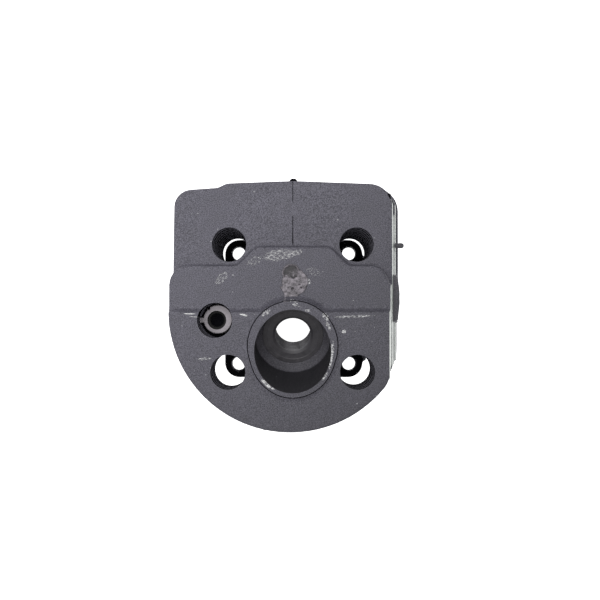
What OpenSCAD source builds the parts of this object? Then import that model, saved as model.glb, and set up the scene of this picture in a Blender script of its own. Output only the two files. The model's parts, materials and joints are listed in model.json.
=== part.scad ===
// Air-cooled two-stroke cylinder with the head cast in one with the barrel.
// Origin: cylinder axis on the base sealing face. +Z towards the spark plug,
// +X towards the intake, -X towards the exhaust, -Y towards the plug side.

/* [Bore and base] */
// Diameter of the running bore
bore_d = 44; // [42:0.5:44]
// Thickness of the lining around the bore
lining_t = 1; // [0.8:0.1:1]
// Outer diameter of the barrel
barrel_d = 52; // [51:0.5:52]
// Spacing of the four base screws, both ways
screw_pitch = 46; // [46:0.5:48]
// Clearance hole for a base screw
screw_hole_d = 5.5; // [5.3:0.1:6]
// Thickness of the base flange
base_t = 6; // [5:0.5:7]
// Length of the spigot that enters the crankcase
spigot_len = 10; // [8:1:12]
// Outer diameter of the spigot
spigot_d = 49.2; // [48.6:0.2:49.4]

/* [Head] */
// Height of the top plate above the sealing face
top_z = 74; // [74:0.5:76]
// Drop from the top plate to the plateau behind it
plateau_drop = 2.5; // [2:0.5:3]
// Drop from the top plate to the rear plate
rear_drop = 6.3; // [6:0.1:6.5]
// Thickness of the top plate
top_t = 3.2; // [3:0.1:3.2]
// Diameter of the tool shaft above each base screw
access_d = 12.4; // [11:0.2:12.4]
// Height of the squish face, where the bore ends
squish_z = 47.5; // [46:0.5:48]
// Height of the chamber dome above the squish face
dome_h = 8.5; // [8:0.5:8.5]
// Diameter of the chamber dome at the squish face
dome_d = 32; // [30:1:34]

/* [Fins] */
// Distance from one fin to the next
fin_pitch = 7; // [6.8:0.1:7]
// Thickness of a fin
fin_t = 2.6; // [2.2:0.1:2.8]

/* [Spark plug] */
// Lean of the plug towards -Y, in degrees
plug_tilt = 23; // [22:0.5:24]
// Diameter of the plug well
well_d = 27.2; // [26.4:0.2:27.4]
// Outer diameter of the plug tower
tower_d = 30.6; // [30.4:0.2:31]
// Inner wall diameter of the plug thread
plug_thread_d = 12.9; // [12.7:0.1:13.2]
// Diameter of the bush that holds the plug thread and is its seat
bush_d = 22.4; // [21:0.2:23]

/* [Ports] */
// Distance from the axis to the exhaust face
exhaust_x = 45; // [44.5:0.5:46]
// Spacing of the exhaust screws
exhaust_pitch = 32; // [31:1:33]
// Distance from the axis to the intake face
intake_x = 40.5; // [40.5:0.5:41.5]
// Spacing of the intake screws
intake_pitch = 31; // [30:1:32]
// Diameter of the intake mouth
intake_d = 17; // [16:0.5:17]
// Wall diameter of every M5 thread
m5_d = 4.2; // [4.2:0.05:4.3]

/* [Hidden] */
$fn = 64;

EPS = 0.01;
FAR = 60;                                   // reaches past everything, for cutting tools
coat = "#4b4a50";
bare = "#b9bbbd";

barrel_r = barrel_d / 2;
lining_r = bore_d / 2 + lining_t;
rear_z = top_z - rear_drop;                 // top of fin 1, the rear plate
plateau_z = top_z - plateau_drop;
core_z = 44;                                // where the barrel ends and the head core begins
screw_xy = screw_pitch / 2;
access_in = 0.3;                            // the rear shafts stand a little closer in than their screws

// Outline of the plates: a D-shaped front on a circle, a straight right side and a rear lobe.
dee_c = [-0.9, -1.1];                       // centre of the round front
dee_r = 43.4;
dee_corner_r = 8;
fin_inset = 0.9;                            // fins stop this far inside the top plate's round front
rear_y = 45.8;                              // rear edge at the parting line
rear_draft = 2;                             // degrees that the rear edge falls away from it
rear_left = -43;
rear_step = 1.7;                            // notch in the rear edge, left of the parting line
rear_step_x = [-23.2, -28];
rear_corner_l = 6.5;
rear_corner_r = 8.5;
cut_y = -16;                                // lower fins stop here, clear of the front screws
cut_corner = [2.4, 8];                      // their front left corner is cut off, under the round front
front_ring_r = 31;                          // lower fins run round the barrel at this radius

// The right-hand ends of the plates lie on a leaning plane, then on an upright one.
side_lean = 13;
side_x = 34.7;                              // where the leaning plane passes side_z
side_z = 72.5;
side_max_x = 39.5;
side_front_x = 37.3;                        // fins 3 and 4 are shorter beside the front screw
side_front_y = -5;
rail_w = 3.6;                               // the rail closes the upper gaps along the leaning plane
rail_recess = 0.3;
rail_y = [-21, 34];

// Plateau behind the top plate.
shoulder_y = 15;
plateau_y = 21.7;
plateau_half = 11.8;
plateau_r = 3.5;                            // rounding of its two S-shaped shoulders
cap_corner_r = 7;
cap_left = dee_c[0] - dee_r;
crease_y = -1.8;                            // front edge of the steep step between plate and plateau
crease_run = 1.6;
cap_side_z = 73.6;                          // the cap's rounded front right corner meets the plane here
cap_gap_y = -3;                             // in front of this the top plate stands clear of fin 1

// Plug axis: the seat centre, and the cone round the seat that widens into the well.
seat = [0, -10.2, 61.8];
bush_reach = 20;                            // the bush runs down into the chamber, where the dome cuts it
well_cone = 2.4;
tower_lip = 0.6;                            // the tower's rim stands this far above the top plate
tower_pad_y = -13.7;
tower_pad_d = 31.8;

dome_r = (pow(dome_d / 2, 2) + dome_h * dome_h) / (2 * dome_h);

// Base flange: a square with a lobe over each transfer channel and a straight pad under the intake.
base_w = screw_pitch + 11.4;
base_lobe_w = 30;
base_lobe_y = 32;
base_lobe_r = 4;
base_side_x = 30.2;
base_side_y = 21.7;

// Cover screw: a post with a keyed bush in a round pocket.
cover_xy = [-27.7, -4.6];
pocket_d = 12.5;
post_d = 10.8;
bush_top_z = 63.6;
bush_foot_z = 48.7;
bush_shank_d = 8;
bush_mouth_d = 6.6;
bush_mouth_h = 2.4;
key_w = 2.2;
key_len = 0.75;

// Ports.
seam_turn = 37.5;                           // keeps the seam of the bore wall clear of the port windows
transfer_w = 15;
transfer_depth = 4.5;
transfer_top = 24.5;
transfer_low = 14.5;
transfer_wall_w = 21;
transfer_wall_y = 31;
transfer_wall_z = 27.5;
channel_y = 20;                             // channels and their walls start here, inside the barrel's wall
port_y = 15;                                // windows start here, well inside the bore
exhaust_z = 22;
exhaust_w = 21;
exhaust_h = 13.5;
exhaust_corner = 4;
port_wall = 3.5;
exhaust_flange_t = 5;
exhaust_root_x = 15;                        // the duct runs in this far before the barrel cuts it off
exhaust_flange_size = [42, 28];
intake_z = 20;
intake_bore_len = 7.5;
intake_flange_t = 4;
intake_flange_size = [42, 26];
duct_d = 14.6;
duct_rise = 19;
duct_wall = 3;
duct_end_x = 36;
duct_len = 16;
passage_len = 24;                           // the slanted passage runs through the bore wall
mouth_root_x = 31;
flange_corner = 6;
boss_d = 10;
insert_d = 6.2;
insert_len = 9;
hood_y = [-4.9, 11.5];
hood_x = 38.9;
hood_bulge_r = 45;
peg_d = 2;
peg_y = 22.8;
peg_x = [34.5, 40.9];

function fin_top(k) = rear_z - (k - 1) * fin_pitch;
function side_at(z) = min(side_max_x, side_x + (side_z - z) * tan(side_lean));
function arc(c, r, a0, a1, n) =
    [for (i = [0:n]) let (a = a0 + (a1 - a0) * i / n) [c[0] + r * cos(a), c[1] + r * sin(a)]];
function mirrored(pts) = [for (i = [len(pts) - 1:-1:0]) [-pts[i][0], pts[i][1]]];

// Round front, from the right-hand side round to the left: r is the circle, xr the right side.
function dee_points(r, xr) =
    let (reach = r - dee_corner_r,
         dx = xr - dee_corner_r - dee_c[0],
         dy = -sqrt(reach * reach - dx * dx),
         turn = atan2(dy, dx))
    concat(arc(dee_c, r, 180, 360 + turn, 40),
           arc([xr - dee_corner_r, dee_c[1] + dy], dee_corner_r, turn, 0, 6));

// Rear lobe, from the right-hand side over the rear edge to the left.
function rear_points(xr) =
    let (fall = tan(rear_draft),
         edge_r = rear_y - (xr - rear_corner_r) * fall,
         edge_s = rear_y + rear_step_x[0] * fall,
         edge_l = edge_s - rear_step - 0.6)
    concat(arc([xr - rear_corner_r, edge_r - rear_corner_r], rear_corner_r, 0, 88, 8),
           [[0, rear_y]],
           [for (i = [0:6]) [rear_step_x[0] + (rear_step_x[1] - rear_step_x[0]) * i / 6,
                             edge_s - rear_step * (1 - cos(30 * i)) / 2]],
           arc([rear_left + rear_corner_l, edge_l - rear_corner_l], rear_corner_l, 93, 180, 8));

// One S-shaped shoulder of the plateau and its outer corner, on the right-hand side.
function shoulder_points(xr) =
    let (foot = plateau_half + plateau_r * tan(22.5) * 2 + plateau_y - shoulder_y)
    concat(arc([xr - cap_corner_r, shoulder_y - cap_corner_r], cap_corner_r, 0, 88, 8),
           arc([foot, shoulder_y + plateau_r], plateau_r, -90, -135, 4),
           arc([plateau_half, plateau_y - plateau_r], plateau_r, 45, 90, 4));

module fin_outline(xr) {
    polygon(concat(dee_points(dee_r - fin_inset, xr), rear_points(xr)));
}

module rear_outline(xr) {
    polygon(concat(rear_points(xr), [[rear_left, cut_y + cut_corner[1]], [rear_left + cut_corner[0], cut_y],
                                     [xr, cut_y]]));
    circle(r = front_ring_r);
}

// The cap; its right side is full enough for the leaning plane to cut it over its whole height.
module cap_outline() {
    xr = side_at(cap_side_z);
    polygon(concat(dee_points(dee_r, xr), shoulder_points(xr), mirrored(shoulder_points(-cap_left))));
    translate([0, rail_y[0]]) square([side_at(rear_z), shoulder_y - cap_corner_r - rail_y[0]]);
}

module round_rect(w, h, r) {
    for (sx = [-1, 1], sy = [-1, 1])
        translate([sx * (w / 2 - r), sy * (h / 2 - r)]) circle(r = r);
    square([w - 2 * r, h], center = true);
    square([w, h - 2 * r], center = true);
}

// Everything right of the leaning side plane.
module beside_plane() {
    translate([side_x, 0, side_z]) rotate([0, -side_lean, 0])
        translate([0, -FAR, -FAR]) cube([FAR, 2 * FAR, 2 * FAR]);
}

module access_shafts() {
    for (sx = [-1, 1], sy = [-1, 1])
        translate([sx * screw_xy, sy * screw_xy - (sy > 0 ? access_in : 0), base_t])
            cylinder(d = access_d, h = top_z);
}

// Frame of the plug: z runs out of the well from the seat.
module on_plug_axis() {
    translate(seat) rotate([plug_tilt, 0, 0]) children();
}

module tower_solid() {
    intersection() {
        union() {
            on_plug_axis() cylinder(d = tower_d, h = FAR, $fn = 96);
            translate([0, tower_pad_y, rear_z]) cylinder(d = tower_pad_d, h = FAR, $fn = 96);
        }
        translate([-FAR, -FAR, 0]) cube([2 * FAR, 2 * FAR, top_z + tower_lip]);
    }
}

module well_space() {
    on_plug_axis() {
        cylinder(d1 = bush_d, d2 = well_d, h = well_cone);
        translate([0, 0, well_cone - EPS]) cylinder(d = well_d, h = FAR);
    }
}

module bush_space() {
    on_plug_axis() translate([0, 0, -bush_reach]) cylinder(d = bush_d, h = bush_reach, $fn = 96);
}

// The chamber dome and the bore under it.
module chamber_space() {
    intersection() {
        translate([0, 0, squish_z + dome_h - dome_r]) sphere(r = dome_r, $fn = 96);
        translate([-FAR, -FAR, squish_z - EPS]) cube(2 * FAR);
    }
    translate([0, 0, -FAR]) cylinder(r = lining_r, h = squish_z + FAR, $fn = 96);
}

module cover_pocket() {
    translate([cover_xy[0], cover_xy[1], fin_top(2)]) cylinder(d = pocket_d, h = FAR);
}

module cover_shank_space() {
    translate([cover_xy[0], cover_xy[1], bush_foot_z]) cylinder(d = bush_shank_d, h = FAR);
}

module post_space() {
    translate([cover_xy[0], cover_xy[1], core_z]) cylinder(d = post_d, h = fin_top(2) - core_z);
}

module barrel_space() {
    translate([0, 0, -FAR]) cylinder(r = barrel_r, h = 3 * FAR, $fn = 96);
}

module exhaust_passage() {
    translate([0, 0, exhaust_z]) rotate([0, -90, 0]) rotate([0, 0, 90])
        linear_extrude(FAR) round_rect(exhaust_w, exhaust_h, exhaust_corner);
}

module exhaust_duct_space() {
    translate([-exhaust_x + exhaust_flange_t, 0, exhaust_z]) rotate([0, 90, 0]) rotate([0, 0, 90])
        linear_extrude(exhaust_x - exhaust_flange_t - exhaust_root_x)
            round_rect(exhaust_w + 2 * port_wall, exhaust_h + 2 * port_wall, exhaust_corner + port_wall);
}

module exhaust_flange_space() {
    translate([-exhaust_x, 0, exhaust_z]) rotate([0, 90, 0]) rotate([0, 0, 90])
        linear_extrude(exhaust_flange_t)
            round_rect(exhaust_flange_size[0], exhaust_flange_size[1], flange_corner);
    for (s = [-1, 1]) translate([-exhaust_x + EPS, s * exhaust_pitch / 2, exhaust_z])
        rotate([0, 90, 0]) cylinder(d = boss_d, h = insert_len + 3);
}

module intake_passage() {
    translate([duct_end_x, 0, intake_z]) rotate([0, -90 - duct_rise, 0])
        cylinder(d = duct_d, h = passage_len);
    translate([intake_x - intake_bore_len, 0, intake_z]) rotate([0, 90, 0])
        cylinder(d = intake_d, h = FAR);
}

module intake_duct_space() {
    intersection() {
        union() {
            translate([duct_end_x, 0, intake_z]) rotate([0, -90 - duct_rise, 0])
                cylinder(d = duct_d + 2 * duct_wall, h = duct_len);
            translate([mouth_root_x, 0, intake_z]) rotate([0, 90, 0])
                cylinder(d = intake_d + 2 * duct_wall, h = intake_x - intake_flange_t - mouth_root_x);
        }
        translate([0, -FAR, base_t]) cube([intake_x - intake_flange_t, 2 * FAR, 2 * FAR]);
    }
}

module intake_flange_space() {
    translate([intake_x - intake_flange_t, 0, intake_z]) rotate([0, 90, 0]) rotate([0, 0, 90])
        linear_extrude(intake_flange_t)
            round_rect(intake_flange_size[0], intake_flange_size[1], flange_corner);
    for (s = [-1, 1]) translate([intake_x - EPS, s * intake_pitch / 2, intake_z])
        rotate([0, -90, 0]) cylinder(d = boss_d, h = insert_len + 2);
}

module transfer_channels() {
    for (s = [-1, 1])
        translate([-transfer_w / 2, s > 0 ? channel_y : -lining_r - transfer_depth, -spigot_len - 1])
            cube([transfer_w, lining_r + transfer_depth - channel_y, transfer_top + spigot_len + 1]);
}

module transfer_ports() {
    for (s = [-1, 1]) translate([-transfer_w / 2, s > 0 ? port_y : -lining_r - 1, transfer_low])
        cube([transfer_w, lining_r + 1 - port_y, transfer_top - transfer_low]);
}

module transfer_wall_space() {
    for (s = [-1, 1])
        translate([-transfer_wall_w / 2, s > 0 ? channel_y : -transfer_wall_y, base_t])
            cube([transfer_wall_w, transfer_wall_y - channel_y, transfer_wall_z - base_t]);
}

module hood_space() {
    top = fin_top(1) - fin_t;
    foot = intake_z + intake_flange_size[1] / 2;
    mid = (hood_y[0] + hood_y[1]) / 2;
    translate([0, 0, foot]) linear_extrude(top - foot) intersection() {
        translate([20, hood_y[0]]) square([30, hood_y[1] - hood_y[0]]);
        translate([hood_x - hood_bulge_r, mid]) circle(r = hood_bulge_r, $fn = 180);
    }
}

module peg_space() {
    translate([peg_x[0], peg_y, fin_top(2) - fin_t / 2]) rotate([0, 90, 0])
        cylinder(d = peg_d, h = peg_x[1] - peg_x[0], $fn = 32);
}

module thread_inserts(x, pitch, z, inward) {
    for (s = [-1, 1]) translate([x, s * pitch / 2, z]) rotate([0, inward, 0]) difference() {
        cylinder(d = insert_d, h = insert_len);
        translate([0, 0, -1]) cylinder(d = m5_d, h = insert_len + 2);
    }
}

module insert_holes(x, pitch, z, inward) {
    for (s = [-1, 1]) translate([x, s * pitch / 2, z]) rotate([0, inward, 0])
        translate([0, 0, -1]) cylinder(d = insert_d, h = insert_len + 1);
}

module top_plate() color(coat) difference() {
    translate([0, 0, rear_z]) linear_extrude(top_z - rear_z) cap_outline();
    // slope and plateau behind the crease
    rotate([90, 0, 90]) translate([0, 0, -FAR]) linear_extrude(2 * FAR)
        polygon([[crease_y, top_z], [crease_y + crease_run * 0.6, plateau_z + plateau_drop * 0.2],
                 [crease_y + crease_run, plateau_z], [FAR, plateau_z], [FAR, top_z + 5],
                 [crease_y, top_z + 5]]);
    // air gap under the front
    difference() {
        translate([-FAR, -FAR, rear_z - 1]) cube([2 * FAR, FAR + cap_gap_y, top_z - top_t - rear_z + 1]);
        barrel_space();
    }
    tower_solid();
    cover_pocket();
    access_shafts();
    beside_plane();
}

module plug_tower() color(coat) difference() {
    tower_solid();
    well_space();
    cover_pocket();
}

module head_core() color(coat) difference() {
    translate([0, 0, core_z]) cylinder(r = barrel_r, h = rear_z - core_z, $fn = 96);
    chamber_space();
    bush_space();
    tower_solid();
    cover_pocket();
    cover_shank_space();
}

module fin(k) color(coat) {
    z = fin_top(k) - fin_t;
    xr = side_at(z + fin_t / 2);
    difference() {
        translate([0, 0, z]) linear_extrude(fin_t) {
            if (k <= 3) fin_outline(xr);
            if (k > 3) rear_outline(xr);
            if (k == 4) intersection() {
                fin_outline(side_front_x);
                translate([8, -FAR]) square([FAR, FAR]);
            }
        }
        barrel_space();
        access_shafts();
        if (k <= 3) tower_solid();
        if (k <= 4) post_space();
        if (k == 1) cover_pocket();
        if (k == 2) peg_space();
        if (k <= 2) beside_plane();
        if (k == 3 || k == 4) translate([side_front_x, -FAR, 0]) cube([FAR, FAR + side_front_y, top_z]);
        if (k >= 2 && k <= 5) hood_space();
        if (k >= 6) {
            exhaust_duct_space();
            exhaust_flange_space();
            intake_duct_space();
            intake_flange_space();
        }
        if (k >= 7) transfer_wall_space();
    }
}

module side_rail() color(coat) difference() {
    intersection() {
        union() {
            translate([0, rail_y[0], fin_top(2)])
                cube([FAR, rail_y[1] - rail_y[0], fin_top(1) - fin_t - fin_top(2)]);
            translate([0, rail_y[0], rear_z]) cube([FAR, cap_gap_y - rail_y[0], top_z - top_t - rear_z]);
        }
        translate([-rail_recess - rail_w, 0, 0]) beside_plane();
    }
    translate([-rail_recess, 0, 0]) beside_plane();
}

module barrel() color(coat) difference() {
    cylinder(r = barrel_r, h = core_z, $fn = 96);
    translate([0, 0, -1]) cylinder(r = lining_r, h = core_z + 2, $fn = 96);
    transfer_channels();
    exhaust_passage();
    intake_passage();
}

module transfer_walls() color(coat) difference() {
    transfer_wall_space();
    barrel_space();
    transfer_channels();
}

module intake_hood() color(coat) difference() {
    hood_space();
    barrel_space();
}

module intake_duct() color(coat) difference() {
    intake_duct_space();
    barrel_space();
    intake_passage();
    intake_flange_space();
}

module intake_flange() color(coat) difference() {
    intake_flange_space();
    intake_passage();
    insert_holes(intake_x, intake_pitch, intake_z, -90);
}

module exhaust_duct() color(coat) difference() {
    exhaust_duct_space();
    barrel_space();
    exhaust_passage();
    exhaust_flange_space();
}

module exhaust_flange() color(coat) difference() {
    exhaust_flange_space();
    exhaust_passage();
    insert_holes(-exhaust_x, exhaust_pitch, exhaust_z, 90);
}

module cover_screw_post() color(coat) difference() {
    post_space();
    barrel_space();
    cover_shank_space();
}

module base_flange() color(coat) difference() {
    linear_extrude(base_t) {
        round_rect(base_w, base_w, flange_corner);
        round_rect(base_lobe_w, 2 * base_lobe_y, base_lobe_r);
        translate([0, -base_side_y]) square([base_side_x, 2 * base_side_y]);
    }
    barrel_space();
    for (sx = [-1, 1], sy = [-1, 1]) translate([sx * screw_xy, sy * screw_xy, -1])
        cylinder(d = screw_hole_d, h = base_t + 2);
    transfer_channels();
}

module crankcase_spigot() color(coat) difference() {
    translate([0, 0, -spigot_len]) cylinder(d = spigot_d, h = spigot_len, $fn = 96);
    translate([0, 0, -spigot_len - 1]) cylinder(r = lining_r, h = spigot_len + 2, $fn = 96);
    transfer_channels();
}

module bore_lining() color(bare) difference() {
    rotate(seam_turn) translate([0, 0, -spigot_len])
        cylinder(r = lining_r, h = squish_z + spigot_len, $fn = 96);
    rotate(seam_turn) translate([0, 0, -spigot_len - 1])
        cylinder(d = bore_d, h = squish_z + spigot_len + 2, $fn = 96);
    transfer_ports();
    exhaust_passage();
    intake_passage();
}

module plug_thread_bush() color(coat) difference() {
    bush_space();
    chamber_space();
    on_plug_axis() translate([0, 0, -bush_reach - 1]) cylinder(d = plug_thread_d, h = bush_reach + 2);
}

module keyed_screw_bush() color(bare) translate([cover_xy[0], cover_xy[1], 0]) difference() {
    union() {
        translate([0, 0, bush_foot_z]) cylinder(d = bush_shank_d, h = fin_top(2) - bush_foot_z);
        translate([0, 0, fin_top(2)]) cylinder(d = post_d, h = bush_top_z - fin_top(2));
        translate([-post_d / 2 - key_len, -key_w / 2, fin_top(2)])
            cube([key_len + 2, key_w, bush_top_z - fin_top(2)]);
    }
    translate([0, 0, bush_foot_z - 1]) cylinder(d = m5_d, h = bush_top_z - bush_foot_z);
    translate([0, 0, bush_top_z - bush_mouth_h]) cylinder(d = bush_mouth_d, h = bush_mouth_h + 1);
}

module intake_thread_inserts() color(bare) thread_inserts(intake_x, intake_pitch, intake_z, -90);

module exhaust_thread_inserts() color(bare) thread_inserts(-exhaust_x, exhaust_pitch, exhaust_z, 90);

module locating_peg() color(coat) peg_space();

top_plate();
plug_tower();
head_core();
fin(1);  // fin_1
fin(2);  // fin_2
fin(3);  // fin_3
fin(4);  // fin_4
fin(5);  // fin_5
fin(6);  // fin_6
fin(7);  // fin_7
fin(8);  // fin_8
fin(9);  // fin_9
side_rail();
barrel();
transfer_walls();
intake_hood();
intake_duct();
intake_flange();
exhaust_duct();
exhaust_flange();
cover_screw_post();
base_flange();
crankcase_spigot();
bore_lining();
plug_thread_bush();
keyed_screw_bush();
intake_thread_inserts();
exhaust_thread_inserts();
locating_peg();
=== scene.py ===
"""Looks of an air-cooled two-stroke cylinder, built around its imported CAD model."""

import json
import math

import bmesh
import bpy
import numpy as np
import openvdb as vdb
from mathutils import Matrix, Vector, noise


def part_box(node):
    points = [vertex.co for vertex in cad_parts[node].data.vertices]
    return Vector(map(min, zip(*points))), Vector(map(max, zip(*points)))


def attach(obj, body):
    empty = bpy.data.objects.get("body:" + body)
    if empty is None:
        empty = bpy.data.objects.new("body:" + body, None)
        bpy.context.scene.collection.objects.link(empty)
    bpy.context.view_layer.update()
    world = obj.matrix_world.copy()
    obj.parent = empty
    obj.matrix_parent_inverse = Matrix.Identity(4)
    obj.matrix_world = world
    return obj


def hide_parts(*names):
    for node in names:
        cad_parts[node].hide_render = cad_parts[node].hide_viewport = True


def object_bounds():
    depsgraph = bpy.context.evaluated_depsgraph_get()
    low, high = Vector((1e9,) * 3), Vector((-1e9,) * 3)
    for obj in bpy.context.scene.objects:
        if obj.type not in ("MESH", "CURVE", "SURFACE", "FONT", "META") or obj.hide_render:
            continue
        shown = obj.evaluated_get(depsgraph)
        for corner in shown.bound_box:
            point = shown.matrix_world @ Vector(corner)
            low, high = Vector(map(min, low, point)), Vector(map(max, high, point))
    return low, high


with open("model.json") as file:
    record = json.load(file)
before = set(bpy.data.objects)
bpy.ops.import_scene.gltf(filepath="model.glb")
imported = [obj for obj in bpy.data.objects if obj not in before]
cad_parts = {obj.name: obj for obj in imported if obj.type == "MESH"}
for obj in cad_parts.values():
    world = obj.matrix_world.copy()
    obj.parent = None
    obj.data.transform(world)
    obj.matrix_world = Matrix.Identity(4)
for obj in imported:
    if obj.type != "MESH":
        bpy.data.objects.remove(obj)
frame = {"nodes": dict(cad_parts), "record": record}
cad_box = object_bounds()

# ---- sizes
# Lengths are in millimetres up to the point where a mesh is made.

MM = 0.001
MOUNTS = {mount["name"]: mount for mount in frame["record"]["mounts"]}


def node_box(name):
    low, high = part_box(name)
    return np.array(low) / MM, np.array(high) / MM


FIN_COUNT = sum(name.startswith("fin_") for name in frame["nodes"])
FIN_NAMES = [f"fin_{k + 1}" for k in range(FIN_COUNT)]
FIN_LOW = [node_box(name)[0][2] for name in FIN_NAMES]
FIN_TOP = [node_box(name)[1][2] for name in FIN_NAMES]
TOP_Z = node_box("top_plate")[1][2]
PLATEAU_Z = TOP_Z - 2.5
REAR_Z = FIN_TOP[0]
REAR_Y = node_box("fin_1")[1][1]
CAP_UNDER_Z = TOP_Z - 3.2
BASE_T = node_box("base_flange")[1][2]
SPIGOT_Z = node_box("crankcase_spigot")[0][2]
SPIGOT_R = MOUNTS["crankcase_spigot"]["dims"]["r_mm"]
BORE_R = MOUNTS["cylinder_bore"]["dims"]["r_mm"]
LINING_R = BORE_R + 1
BARREL_R = node_box("barrel")[1][0]
SQUISH_Z = node_box("bore_lining")[1][2]
DOME_R = 16.0
DOME_H = 8.5
SCREW_XY = MOUNTS["base_screws"]["dims"]["spacing_x_mm"] / 2
SCREW_R = MOUNTS["base_screws"]["dims"]["hole_r_mm"]
COVER_XY = np.array(MOUNTS["cover_screw_thread"]["pos_m"])[:2] / MM
PEG_LOW, PEG_HIGH = node_box("locating_peg")
M5_R = MOUNTS["cover_screw_thread"]["dims"]["r_mm"]
INSERT_R = 3.1
INSERT_LEN = 9.0

EXHAUST_X = node_box("exhaust_flange")[0][0]
EXHAUST_Z = 22.0
EXHAUST_PORT = (21.0, 13.5, 4.0)  # width, height and corner radius
EXHAUST_HALF = MOUNTS["exhaust_screws"]["dims"]["spacing_x_mm"] / 2
INTAKE_X = node_box("intake_flange")[1][0]
INTAKE_Z = 20.0
INTAKE_HALF = MOUNTS["intake_screws"]["dims"]["spacing_x_mm"] / 2
MOUTH_R = MOUNTS["intake_mouth"]["dims"]["r_mm"]
DUCT_R = 7.3
DUCT_RISE = math.radians(19)
DUCT_END_X = 36.0
TRANSFER_HALF = 7.5
TRANSFER_Z = (14.5, 24.5)

# The plug: its seat, the bush round its thread, and the well above it.
PLUG_AXIS = np.array(MOUNTS["spark_plug_thread"]["axis"], float)
SEAT = np.array([0, -10.2, 61.8])
THREAD_R = MOUNTS["spark_plug_thread"]["dims"]["r_mm"]
BUSH_R = 11.2
WELL_R = 13.6
WELL_CONE = 2.4
TOWER_R = 15.3
TOWER_TOP = node_box("plug_tower")[1][2]
PAD_R = 15.9
PAD_Y = -13.7

# The milled plane on the right, leaning out as it goes down.
SIDE_LEAN = math.radians(13)
SIDE_POINT = np.array([34.7, 0, 72.5])
SIDE_NORMAL = np.array([math.cos(SIDE_LEAN), 0, math.sin(SIDE_LEAN)])
SIDE_FRAME = Matrix.Translation(Vector(SIDE_POINT)) @ Matrix.Rotation(SIDE_LEAN, 4, "Y").inverted()
RAIL_W = 3.6

# Tool shafts over the base screws: centre, and the height where each one opens.
SHAFT_R = 6.2
SHAFTS = [((sx * SCREW_XY, sy * SCREW_XY - (0.3 if sy > 0 else 0)), REAR_Z if sy > 0 else TOP_Z)
          for sx in (-1, 1) for sy in (-1, 1)]
POCKET_R = 6.25

FAR = 80.0
CORE_SPLIT_Z = (FIN_TOP[4] + FIN_LOW[3]) / 2  # between head and barrel, in the middle of a fin gap


def side_x(z):
    """Where the milled side plane is at this height."""
    return SIDE_POINT[0] + (SIDE_POINT[2] - z) * math.tan(SIDE_LEAN)


# ---- camera, light and floor

CAMERA_AT = Vector((2.6, -2.75, 460)) * MM
CAMERA_TO = Vector((2.6, 2.6, 74)) * MM
LENS_MM = 65.28


def linked(name, data):
    obj = bpy.data.objects.new(name, data)
    bpy.context.scene.collection.objects.link(obj)
    return obj


def make_camera():
    data = bpy.data.cameras.new("camera")
    data.lens = LENS_MM
    data.clip_start = 0.01
    camera = linked("camera", data)
    look = (CAMERA_TO - CAMERA_AT).normalized()
    right = look.cross(Vector((0, 1, 0))).normalized()
    up = right.cross(look)
    turn = Matrix((right, up, -look)).transposed().to_4x4()
    camera.matrix_world = Matrix.Translation(CAMERA_AT) @ turn
    bpy.context.scene.camera = camera


def make_softbox():
    data = bpy.data.lights.new("softbox", "AREA")
    data.size = 0.9
    data.energy = 8.5
    light = linked("softbox", data)
    light.location = (-0.15, 0.15, 0.95)
    light.rotation_euler = (Vector((0, 0, 0.05)) - light.location).to_track_quat("-Z", "Y").to_euler()


def make_world():
    """An even, dim surround; most of the light comes from the softbox overhead."""
    world = bpy.data.worlds.new("studio")
    world.use_nodes = True
    background = world.node_tree.nodes["Background"]
    wire_all(world.node_tree, background, {"Color": (1, 1, 1, 1), "Strength": 0.45})
    bpy.context.scene.world = world
    bpy.context.scene.view_settings.view_transform = "Standard"


def make_floor():
    bpy.ops.mesh.primitive_plane_add(size=6, location=(0, 0, cad_box[0][2]))
    floor = bpy.context.object
    floor.name = "floor"
    material = bpy.data.materials.new("floor_white")
    material.use_nodes = True
    shader = material.node_tree.nodes["Principled BSDF"]
    wire_all(material.node_tree, shader, {"Base Color": (0.92, 0.92, 0.92, 1), "Roughness": 0.9,
                                          "Emission Color": (1, 1, 1, 1), "Emission Strength": 1.05})
    floor.data.materials.append(material)


# ---- shader nodes


def new_material(name):
    """A material, its node tree, its shader, and the point on the object in metres."""
    material = bpy.data.materials.new(name)
    material.use_nodes = True
    tree = material.node_tree
    place = tree.nodes.new("ShaderNodeTexCoord").outputs["Object"]
    return material, tree, tree.nodes["Principled BSDF"], place


def wire_all(tree, node, inputs):
    """Links or sets the named inputs of a node."""
    for key, value in inputs.items():
        if isinstance(value, bpy.types.NodeSocket):
            tree.links.new(value, node.inputs[key])
        else:
            node.inputs[key].default_value = value


def add_node(tree, kind, inputs, **settings):
    node = tree.nodes.new("ShaderNode" + kind)
    for key, value in settings.items():
        setattr(node, key, value)
    wire_all(tree, node, inputs)
    return node


def fractal(tree, place, scale, detail=2.0, roughness=0.5, distortion=0.0):
    """Noise from 0 to 1 with this many features a metre."""
    inputs = {"Vector": place, "Scale": scale, "Detail": detail}
    inputs.update({"Roughness": roughness, "Distortion": distortion})
    return add_node(tree, "TexNoise", inputs).outputs[0]


def remap(tree, value, low, high, to_low=0.0, to_high=1.0, smooth=False):
    inputs = {"Value": value, "From Min": low, "From Max": high, "To Min": to_low, "To Max": to_high}
    shape = "SMOOTHSTEP" if smooth else "LINEAR"
    return add_node(tree, "MapRange", inputs, interpolation_type=shape).outputs[0]


def calc(tree, operation, a, b=0.0):
    return add_node(tree, "Math", {0: a, 1: b}, operation=operation).outputs[0]


def weighted(tree, a, a_share, b, b_share):
    """The sum of two values, each times its share."""
    return calc(tree, "ADD", calc(tree, "MULTIPLY", a, a_share), calc(tree, "MULTIPLY", b, b_share))


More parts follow.
